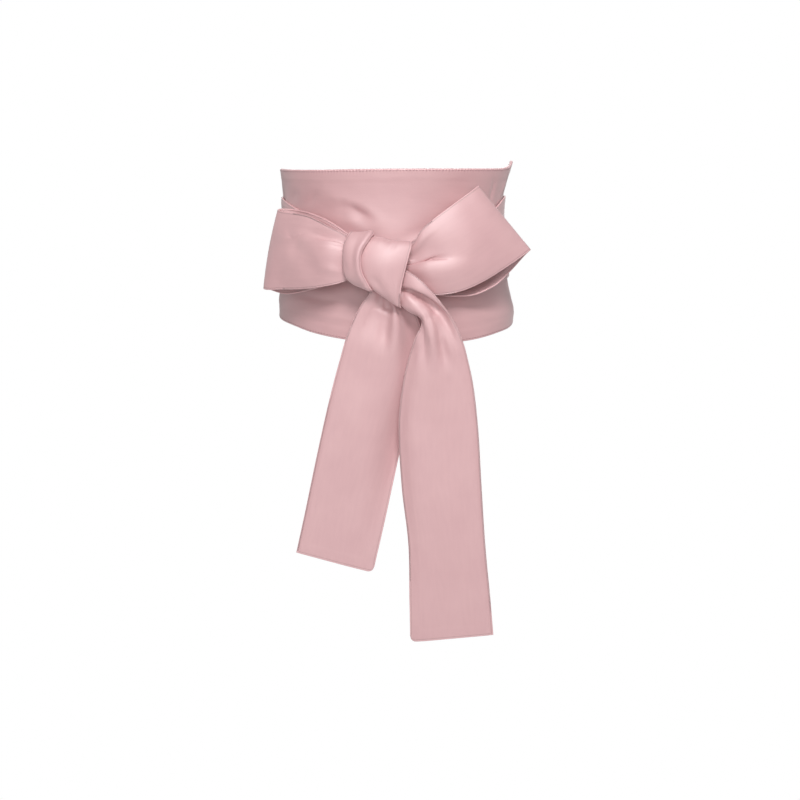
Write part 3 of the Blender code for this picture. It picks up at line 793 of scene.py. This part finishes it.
def sheet_piece(node, grid, wall, turned_in, pucker=0.0, hem_ends=False):
    """A shell of cloth, in place of the part that it stands for, which is hidden."""
    piece = shell(node + "_cloth", grid, wall / MM / 2, satin(pucker), turned_in, hem_ends)
    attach(piece, ROOT)
    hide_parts(node)
    length = float(flat_places(grid)[-1, 0, 0]) * MM


def new_sphere(name, segments, rings):
    """A sphere of radius 1, with nothing else selected."""
    bpy.ops.object.select_all(action="DESELECT")
    bpy.ops.mesh.primitive_uv_sphere_add(segments=segments, ring_count=rings, radius=1.0)
    piece = bpy.context.object
    piece.name = piece.data.name = name
    return piece


def set_sockets(node, values):
    for name, value in values.items():
        node.inputs[name].default_value = value


def new_node(tree, kind, **values):
    """A shader node, with the values of its sockets by their names."""
    node = tree.nodes.new("ShaderNode" + kind)
    set_sockets(node, values)
    return node


def new_material(name):
    """A material, its node tree and its shader."""
    material = bpy.data.materials.new(name)
    material.use_nodes = True
    return material, material.node_tree, material.node_tree.nodes["Principled BSDF"]


def new_group(name, inputs, outputs):
    """An empty shader node group with named inputs and outputs, and its two end nodes."""
    group = bpy.data.node_groups.new(name, "ShaderNodeTree")
    for in_out, sockets in (("INPUT", inputs), ("OUTPUT", outputs)):
        for label, kind in sockets.items():
            group.interface.new_socket(label, in_out=in_out, socket_type="NodeSocket" + kind)
    start = group.nodes.new("NodeGroupInput")
    end = group.nodes.new("NodeGroupOutput")
    return group, start, end


def weave_group():
    """The satin's fine floats, its soft unevenness and the puckers beside its seams, with a painted
    highlight along its rim and painted shade in its seam's groove.
    """
    group, start, end = new_group(
        "Satin weave",
        {"Place": "Vector", "Hem": "Vector", "Colour": "Color", "Roughness": "Float", "Pucker": "Float"},
        {"Colour": "Color", "Roughness": "Float", "Height": "Float"},
    )
    join = group.links.new

    def math(kind, first, second):
        node = new_node(group, "Math")
        node.operation = kind
        for socket, value in zip(node.inputs, (first, second)):
            if isinstance(value, (int, float)):
                socket.default_value = value
            else:
                join(value, socket)
        return node.outputs[0]

    def noise(vector, scale, detail):
        node = new_node(group, "TexNoise", Scale=scale, Detail=detail)
        join(vector, node.inputs["Vector"])
        return node.outputs["Fac"]

    def falloff(value, full, none):
        node = new_node(group, "MapRange")
        node.interpolation_type = "SMOOTHSTEP"
        set_sockets(node, {"From Min": full, "From Max": none, "To Min": 1.0, "To Max": 0.0})
        join(value, node.inputs["Value"])
        return node.outputs["Result"]

    stretch = new_node(group, "Mapping", Scale=WEAVE_STRETCH)
    join(start.outputs["Place"], stretch.inputs["Vector"])
    floats = noise(stretch.outputs["Vector"], FLOAT_SCALE, 1.0)
    streaks = noise(stretch.outputs["Vector"], STREAK_SCALE, 2.0)
    clouds = noise(start.outputs["Place"], CLOUD_SCALE, 2.0)
    parts = new_node(group, "SeparateXYZ")
    join(start.outputs["Hem"], parts.inputs[0])
    from_edge, along_edge = parts.outputs["X"], parts.outputs["Y"]
    # Painted highlight: the colour is lifted within about a millimetre of the cloth's edge, where a
    # rolled edge catches light.
    rim = falloff(from_edge, RIM_LIGHT_FULL, RIM_LIGHT_NONE)
    # The seam's groove: a dip in the bump, and painted shade that darkens the colour there.
    from_seam = math("ABSOLUTE", math("SUBTRACT", from_edge, SEAM_INSET), 0.0)
    groove = falloff(from_seam, 0.0, SEAM_REACH)
    wave = math("SINE", math("MULTIPLY", along_edge, PUCKER_TURN), 0.0)
    near = math("SUBTRACT", 1.0, math("MULTIPLY", from_edge, PUCKER_FADE))
    near = math("MAXIMUM", near, 0.0)
    ripple = math("MULTIPLY", math("MULTIPLY", wave, near), start.outputs["Pucker"])
    height = math("MULTIPLY", floats, 0.05)
    for source, share in ((streaks, 0.03), (clouds, 0.9), (ripple, 0.16), (groove, -0.15)):
        height = math("ADD", height, math("MULTIPLY", source, share))
    join(height, end.inputs["Height"])
    tone = new_node(group, "Mix")
    tone.data_type = "RGBA"
    tone.blend_type = "MULTIPLY"
    shade = new_node(group, "ValToRGB")
    dark, light = shade.color_ramp.elements
    dark.position, light.position = 0.3, 0.7
    dark.color, light.color = (0.93, 0.90, 0.915, 1), (1, 1, 1, 1)
    join(math("ADD", math("MULTIPLY", clouds, 0.6), math("MULTIPLY", streaks, 0.4)), shade.inputs[0])
    tone.inputs["Factor"].default_value = 1.0
    join(start.outputs["Colour"], tone.inputs["A"])
    join(shade.outputs[0], tone.inputs["B"])
    # Painted light in the colour: 14% lighter along the rim as a painted highlight, and 20% darker in
    # the seam's groove as painted shade. The node below scales the colour by it.
    edge = math("ADD", math("MULTIPLY", rim, 0.14), math("MULTIPLY", groove, -0.20))
    pressed = new_node(group, "VectorMath")
    pressed.operation = "SCALE"
    join(tone.outputs["Result"], pressed.inputs[0])
    join(math("ADD", edge, 1.0), pressed.inputs["Scale"])
    join(pressed.outputs[0], end.inputs["Colour"])
    spread = math("MULTIPLY", math("SUBTRACT", streaks, 0.5), 0.16)
    join(math("ADD", start.outputs["Roughness"], spread), end.inputs["Roughness"])
    return group


def satin(pucker=0.0):
    """Duchess satin, a close weave with a soft lustre, made once for each strength of its puckers."""
    name = "obi_satin_stitched" if pucker else "obi_satin"
    if name in bpy.data.materials:
        return bpy.data.materials[name]
    look = bpy.context.scene.obi_satin
    material, tree, shader = new_material(name)
    join = tree.links.new
    place = new_node(tree, "UVMap")
    place.uv_map = "cloth"
    hem = new_node(tree, "UVMap")
    hem.uv_map = "hem"
    cloth = new_node(tree, "Group")
    cloth.node_tree = bpy.data.node_groups.get("Satin weave") or weave_group()
    finish = {"Colour": (*look.colour, 1.0), "Roughness": look.roughness, "Pucker": pucker}
    set_sockets(cloth, finish)
    join(place.outputs["UV"], cloth.inputs["Place"])
    join(hem.outputs["UV"], cloth.inputs["Hem"])
    bump = new_node(tree, "Bump", Strength=1.0, Distance=0.001)
    join(cloth.outputs["Height"], bump.inputs["Height"])
    join(cloth.outputs["Colour"], shader.inputs["Base Color"])
    join(cloth.outputs["Roughness"], shader.inputs["Roughness"])
    join(bump.outputs["Normal"], shader.inputs["Normal"])
    lustre = {
        "Specular IOR Level": 1.0,
        "Coat Weight": 1.0,
        "Coat Roughness": 0.52,
        "Sheen Weight": look.sheen,
        "Sheen Roughness": 0.4,
        "Sheen Tint": (1.0, 0.93, 0.92, 1.0),
    }
    set_sockets(shader, lustre)
    return material


def thread_material():
    """Polyester thread: a fine twist, a little darker than the satin."""
    if "obi_thread" in bpy.data.materials:
        return bpy.data.materials["obi_thread"]
    look = bpy.context.scene.obi_satin
    material, tree, shader = new_material("obi_thread")
    join = tree.links.new
    place = new_node(tree, "TexCoord")
    twist = new_node(tree, "TexWave", Scale=900.0)
    twist.bands_direction = "DIAGONAL"
    join(place.outputs["Object"], twist.inputs["Vector"])
    tone = new_node(tree, "ValToRGB")
    dark, light = tone.color_ramp.elements
    dark.color = (*[0.8 * c for c in look.thread], 1.0)
    light.color = (*look.thread, 1.0)
    join(twist.outputs["Fac"], tone.inputs[0])
    join(tone.outputs[0], shader.inputs["Base Color"])
    bump = new_node(tree, "Bump", Distance=0.0001)
    join(twist.outputs["Fac"], bump.inputs["Height"])
    join(bump.outputs["Normal"], shader.inputs["Normal"])
    set_sockets(shader, {"Roughness": 0.5, "Specular IOR Level": 0.6})
    return material


class OBI_OT_panel(bpy.types.Operator):
    """Model the shaped panel round the waist"""

    bl_idname = "obi.panel"
    bl_label = "Panel"

    def execute(self, context):
        cloth = context.scene.obi_cloth
        grid = panel_grid(cloth)
        sheet_piece("panel", grid, cloth.panel_wall, 1.0, pucker=1.0)
        return {"FINISHED"}


class OBI_OT_stitches(bpy.types.Operator):
    """Model the topstitching along the panel's upper and lower edge"""

    bl_idname = "obi.stitches"
    bl_label = "Topstitching"

    def execute(self, context):
        cloth = context.scene.obi_cloth
        stitch = context.scene.obi_stitch
        if stitch.length >= stitch.pitch:
            raise RuntimeError("a stitch is longer than the pitch")
        grid = panel_grid(cloth)
        half = cloth.panel_wall / MM / 2 + cloth.allowance_rise / MM
        normal = normals_of(grid)
        surface = grid + normal * (half - stitch.thickness / MM * STITCH_SUNK)
        for name, order in (("lower", 1), ("upper", -1)):
            near_edge = surface[:, ::order][:, :STITCH_COLUMNS]
            steps = np.linalg.norm(np.diff(near_edge, axis=1), axis=2)
            depth = np.cumsum(steps, axis=1)
            beyond = (depth < stitch.inset / MM).sum(axis=1)
            rows = np.arange(len(grid))
            before = np.where(beyond > 0, depth[rows, beyond - 1], 0.0)
            share = ((stitch.inset / MM - before) / steps[rows, beyond])[:, None]
            line = near_edge[rows, beyond] * (1 - share) + near_edge[rows, beyond + 1] * share
            self.row("stitches_" + name, line, normal[:, ::order][:, 1], stitch)
        return {"FINISHED"}

    def row(self, name, line, normal, stitch):
        """One row of stitches along a line of points on the cloth."""
        steps = np.linalg.norm(np.diff(line, axis=0), axis=1)
        travelled = np.concatenate([[0.0], np.cumsum(steps)])
        count = int((travelled[-1] - 2 * STITCH_START) / (stitch.pitch / MM))
        middles = STITCH_START + (np.arange(count) + 0.5) * stitch.pitch / MM
        place, up = (
            np.stack([np.interp(middles, travelled, value) for value in values.T], axis=1)
            for values in (line, normal)
        )
        up = unit(up)
        along = unit(np.gradient(place, axis=0))
        side = np.cross(up, along)
        piece = new_sphere(name, 6, 4)
        shape = np.array([vertex.co for vertex in piece.data.vertices])
        faces = [list(face.vertices) for face in piece.data.polygons]
        length, thick = stitch.length / MM / 2, stitch.thickness / MM / 2
        points = (
            place[:, None]
            + along[:, None] * (shape[None, :, 2:3] * length)
            + side[:, None] * (shape[None, :, 0:1] * thick)
            + up[:, None] * (shape[None, :, 1:2] * thick)
        )
        all_faces = [[v + k * len(shape) for v in face] for k in range(count) for face in faces]
        piece.data.clear_geometry()
        piece.data.from_pydata((points.reshape(-1, 3) * MM).tolist(), [], all_faces)
        piece.data.shade_smooth()
        piece.data.materials.clear()
        piece.data.materials.append(thread_material())
        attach(piece, ROOT)


class OBI_OT_wraps(bpy.types.Operator):
    """Model the two ties on their way round the body"""

    bl_idname = "obi.wraps"
    bl_label = "Ties round the body"

    def execute(self, context):
        cloth = context.scene.obi_cloth
        for node, table, side, creases in (
            ("wrap_left", WRAP_LEFT, 1.0, WRAP_LEFT_CREASES),
            ("wrap_right", WRAP_RIGHT, -1.0, WRAP_RIGHT_CREASES),
        ):
            grid = round_body(table, side, TIE_WIDTH / MM, WRAP_FOLDS, cloth.coarse / MM)
            grid = creased(grid, creases)
            sheet_piece(node, grid, cloth.tie_wall, TIE_STEP)
        return {"FINISHED"}


class OBI_OT_loops(bpy.types.Operator):
    """Model the two loops of the bow"""

    bl_idname = "obi.loops"
    bl_label = "Loops"

    def execute(self, context):
        cloth = context.scene.obi_cloth
        for node, table, folds, creases in (
            ("loop_left", LOOP_LEFT, LOOP_LEFT_FOLDS, LOOP_LEFT_CREASES),
            ("loop_right", LOOP_RIGHT, LOOP_RIGHT_FOLDS, LOOP_RIGHT_CREASES),
        ):
            grid = creased(ribbon(table, cloth.fine / MM, folds), creases)
            sheet_piece(node, grid, cloth.tie_wall, TIE_STEP)
        return {"FINISHED"}


class OBI_OT_tails(bpy.types.Operator):
    """Model the two hanging tails"""

    bl_idname = "obi.tails"
    bl_label = "Tails"

    def execute(self, context):
        cloth = context.scene.obi_cloth
        for node, table, folds, creases, worn_side in (
            ("tail_left", TAIL_LEFT, TAIL_LEFT_FOLDS, TAIL_LEFT_CREASES, 1),
            ("tail_right", TAIL_RIGHT, TAIL_RIGHT_FOLDS, TAIL_RIGHT_CREASES, 0),
        ):
            grid = creased(ribbon(table, cloth.fine / MM, folds, TAIL_CLOSER), creases)
            grid = with_corner(grid, worn_side, cloth.worn_corner / MM)
            sheet_piece(node, grid, cloth.tie_wall, TIE_STEP, hem_ends=True)
        return {"FINISHED"}


class OBI_OT_knot(bpy.types.Operator):
    """Model the knot: its band, its collar and the layers inside"""

    bl_idname = "obi.knot"
    bl_label = "Knot"

    def execute(self, context):
        cloth = context.scene.obi_cloth
        for node, table, creases in (
            ("knot_band", KNOT_BAND, KNOT_BAND_CREASES),
            ("knot_collar", KNOT_COLLAR, KNOT_COLLAR_CREASES),
        ):
            grid = creased(ribbon(table, cloth.fine / MM), creases)
            width = float(np.ptp(flat_places(grid)[..., 1], axis=1).mean()) * MM
            sheet_piece(node, grid, cloth.tie_wall, 0.0)
        self.core()
        return {"FINISHED"}

    def core(self):
        """The layers inside the knot, gathered to a rounded, pleated bundle."""
        core = new_sphere("knot_core_cloth", 96, 48)
        core.data.uv_layers[0].name = "cloth"
        half = np.array(KNOT_CORE_HALF)
        for vertex in core.data.vertices:
            direction = np.array(vertex.co)
            size = (np.abs(direction) ** KNOT_CORE_SQUARENESS).sum() ** (1 / KNOT_CORE_SQUARENESS)
            pleat = np.sin(KNOT_CORE_PLEATS * np.arctan2(direction[2], direction[1]) + 2 * direction[0])
            reach = half / size - KNOT_CORE_PLEAT_DEPTH * (0.5 + 0.5 * pleat) / size
            vertex.co = (np.array(KNOT_CORE_CENTRE) + direction * reach) * MM
        core.data.shade_smooth()
        core.data.materials.clear()
        core.data.materials.append(satin())
        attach(core, ROOT)
        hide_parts("knot_core")


class OBI_OT_stage(bpy.types.Operator):
    """Place the pale floor, the soft lights and the camera"""

    bl_idname = "obi.stage"
    bl_label = "Floor, light and camera"

    def execute(self, context):
        studio = context.scene.obi_studio
        bpy.ops.object.select_all(action="DESELECT")
        bpy.ops.mesh.primitive_plane_add(size=FLOOR_SIZE, location=(0, 0, studio.floor))
        floor = context.object
        floor.name = "floor"
        floor.data.materials.append(self.pale())
        for name, place, size, share in LIGHTS:
            light = bpy.data.lights.new(name, "AREA")
            light.size = size
            light.energy = studio.key * share
            lamp = bpy.data.objects.new(name, light)
            lamp.location = place
            facing = Vector(LIT_PLACE) - Vector(place)
            lamp.rotation_euler = facing.to_track_quat("-Z", "Y").to_euler()
            context.scene.collection.objects.link(lamp)
        world = bpy.data.worlds.new("studio")
        world.use_nodes = True
        self.white_to_camera(world.node_tree, studio.ambient)
        context.scene.world = world
        camera = bpy.data.cameras.new("camera")
        camera.lens = CAMERA_LENS
        camera.sensor_width = CAMERA_SENSOR
        camera.clip_start = 0.01
        viewer = bpy.data.objects.new("camera", camera)
        viewer.location = CAMERA_PLACE
        viewer.rotation_euler = (radians(CAMERA_TILT), 0, 0)
        context.scene.collection.objects.link(viewer)
        context.scene.camera = viewer
        context.scene.view_settings.view_transform = "Standard"
        return {"FINISHED"}

    def pale(self):
        """The floor's pale finish, which fades to white where the camera sees it."""
        material, tree, shader = new_material("floor")
        join = tree.links.new
        set_sockets(shader, {"Base Color": (0.82, 0.82, 0.82, 1), "Roughness": 0.8})
        white = new_node(tree, "Emission")
        rays = new_node(tree, "LightPath")
        mix = new_node(tree, "MixShader")
        join(rays.outputs["Is Camera Ray"], mix.inputs["Fac"])
        join(shader.outputs["BSDF"], mix.inputs[1])
        join(white.outputs["Emission"], mix.inputs[2])
        join(mix.outputs["Shader"], tree.nodes["Material Output"].inputs["Surface"])
        return material

    def white_to_camera(self, tree, ambient):
        """A white backdrop, with softer light from all around."""
        background = tree.nodes["Background"]
        rays = new_node(tree, "LightPath")
        strength = new_node(tree, "MapRange")
        set_sockets(strength, {"To Min": ambient, "To Max": 1.0})
        tree.links.new(rays.outputs["Is Camera Ray"], strength.inputs["Value"])
        background.inputs["Color"].default_value = (1, 1, 1, 1)
        tree.links.new(strength.outputs["Result"], background.inputs["Strength"])


class OBI_PT_panel(bpy.types.Panel):
    """The sizes, the finish and the steps of the belt"""

    bl_idname = "OBI_PT_panel"
    bl_label = "Obi belt"
    bl_space_type = "VIEW_3D"
    bl_region_type = "UI"
    bl_category = "Obi belt"

    def draw(self, context):
        layout = self.layout
        for group in GROUPS:
            box = layout.box()
            settings = getattr(context.scene, group)
            for name in settings.bl_rna.properties.keys():
                if name not in ("rna_type", "name"):
                    box.prop(settings, name)
        for operator in OPERATORS:
            layout.operator(operator.bl_idname)


GROUPS = {
    "obi_cloth": ObiCloth,
    "obi_satin": ObiSatin,
    "obi_stitch": ObiStitch,
    "obi_studio": ObiStudio,
}
OPERATORS = (
    OBI_OT_panel,
    OBI_OT_stitches,
    OBI_OT_wraps,
    OBI_OT_loops,
    OBI_OT_tails,
    OBI_OT_knot,
    OBI_OT_stage,
)


def register():
    for cls in (*GROUPS.values(), *OPERATORS, OBI_PT_panel):
        bpy.utils.register_class(cls)
    for name, cls in GROUPS.items():
        setattr(bpy.types.Scene, name, bpy.props.PointerProperty(type=cls))


def unregister():
    for name in GROUPS:
        delattr(bpy.types.Scene, name)
    for cls in (OBI_PT_panel, *OPERATORS, *GROUPS.values()):
        bpy.utils.unregister_class(cls)


def main():
    register()
    bpy.ops.obi.panel()
    bpy.ops.obi.stitches()
    bpy.ops.obi.wraps()
    bpy.ops.obi.loops()
    bpy.ops.obi.tails()
    bpy.ops.obi.knot()
    bpy.ops.obi.stage()


if __name__ == "__main__":
    main()
